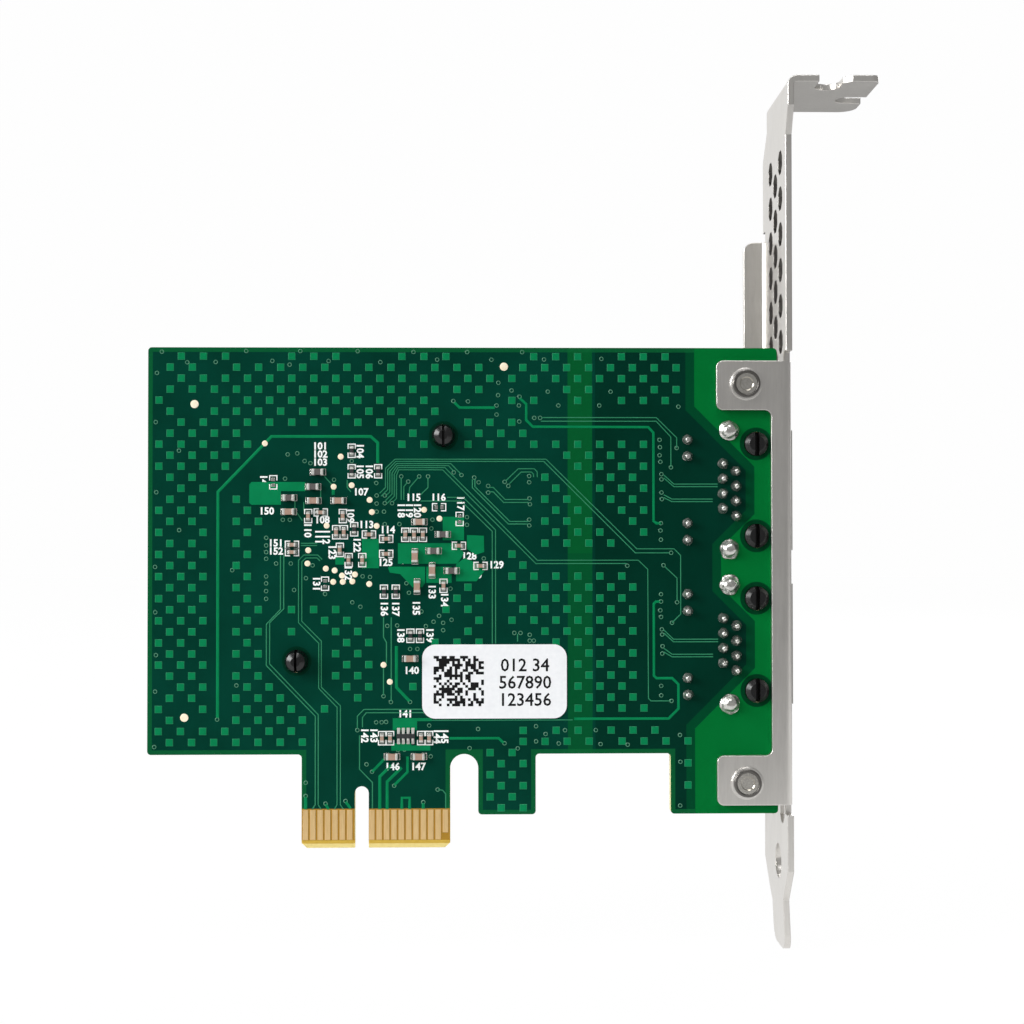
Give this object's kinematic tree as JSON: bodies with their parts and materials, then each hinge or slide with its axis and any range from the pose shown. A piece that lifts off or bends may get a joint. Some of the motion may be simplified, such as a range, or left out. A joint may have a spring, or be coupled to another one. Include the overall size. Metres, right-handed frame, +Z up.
{
  "type": "network interface card",
  "caption": "Low-profile network interface card with a full-height steel bracket, side-by-side network jacks, a finned heat sink and a card-edge connector.",
  "frame": {"origin": "on the card's bottom edge, at the middle of the key notch and of the board's thickness", "axes": "+X towards the bracket and its ports, +Y out of the component side, +Z up, away from the slot"},
  "size_m": [0.0996, 0.0205, 0.12],
  "materials": {
    "pcb": "solder mask over glass fibre, satin gloss",
    "gold": "gold plating, smooth",
    "bracket_steel": "zinc-plated sheet steel, dull",
    "screw_steel": "nickel-plated, bright",
    "shield_steel": "tin-plated sheet, bright",
    "black_nylon": "moulded, fine grain",
    "mould_compound": "moulded epoxy, matt",
    "lamp_clear": "translucent, smooth",
    "lead_tin": "tin plating, satin",
    "solder": "solder, bright",
    "sink_aluminium": "black anodised extrusion",
    "pad_grey": "soft filled silicone",
    "pin_nylon": "moulded nylon, matt",
    "spring_steel": "nickel-plated wire",
    "crystal_can": "drawn nickel can, bright",
    "inductor_core": "pressed iron powder",
    "tantalum": "moulded epoxy with tin ends",
    "ceramic_tan": "ceramic with tin ends",
    "ceramic_black": "ceramic with a dark glaze and tin ends",
    "ferrite": "ferrite with tin ends",
    "label_paper": "coated label, matt"
  },
  "bodies": {
    "root": {"circuit_board": "pcb", "edge_contacts_rear": "gold", "edge_contacts_front": "gold", "bracket": "bracket_steel", "bracket_screws": "screw_steel", "controller_solder_balls": "solder", "controller_chip": "mould_compound", "thermal_pad": "pad_grey", "heat_sink": "sink_aluminium", "push_pins": "pin_nylon", "push_pin_springs": "spring_steel", "crystal": "crystal_can", "flash_memory": "mould_compound", "flash_memory_leads": "lead_tin", "voltage_regulators": "mould_compound", "regulator_leads": "lead_tin", "power_inductor": "inductor_core", "bulk_capacitors": "tantalum", "rear_capacitors": "ceramic_tan", "rear_resistors": "ceramic_black", "rear_ferrite_beads": "ferrite", "front_capacitors": "ceramic_tan", "front_resistors": "ceramic_black", "rear_resistor_array": "ceramic_black", "label": "label_paper", "jack_shield_upper": "shield_steel", "jack_housing_upper": "black_nylon", "jack_contacts_upper": "gold", "jack_leds_upper": "lamp_clear", "jack_led_leads_upper": "lead_tin", "transformer_upper": "mould_compound", "transformer_leads_upper": "lead_tin", "jack_shield_lower": "shield_steel", "jack_housing_lower": "black_nylon", "jack_contacts_lower": "gold", "jack_leds_lower": "lamp_clear", "jack_led_leads_lower": "lead_tin", "transformer_lower": "mould_compound", "transformer_leads_lower": "lead_tin"}
  },
  "joints": []
}
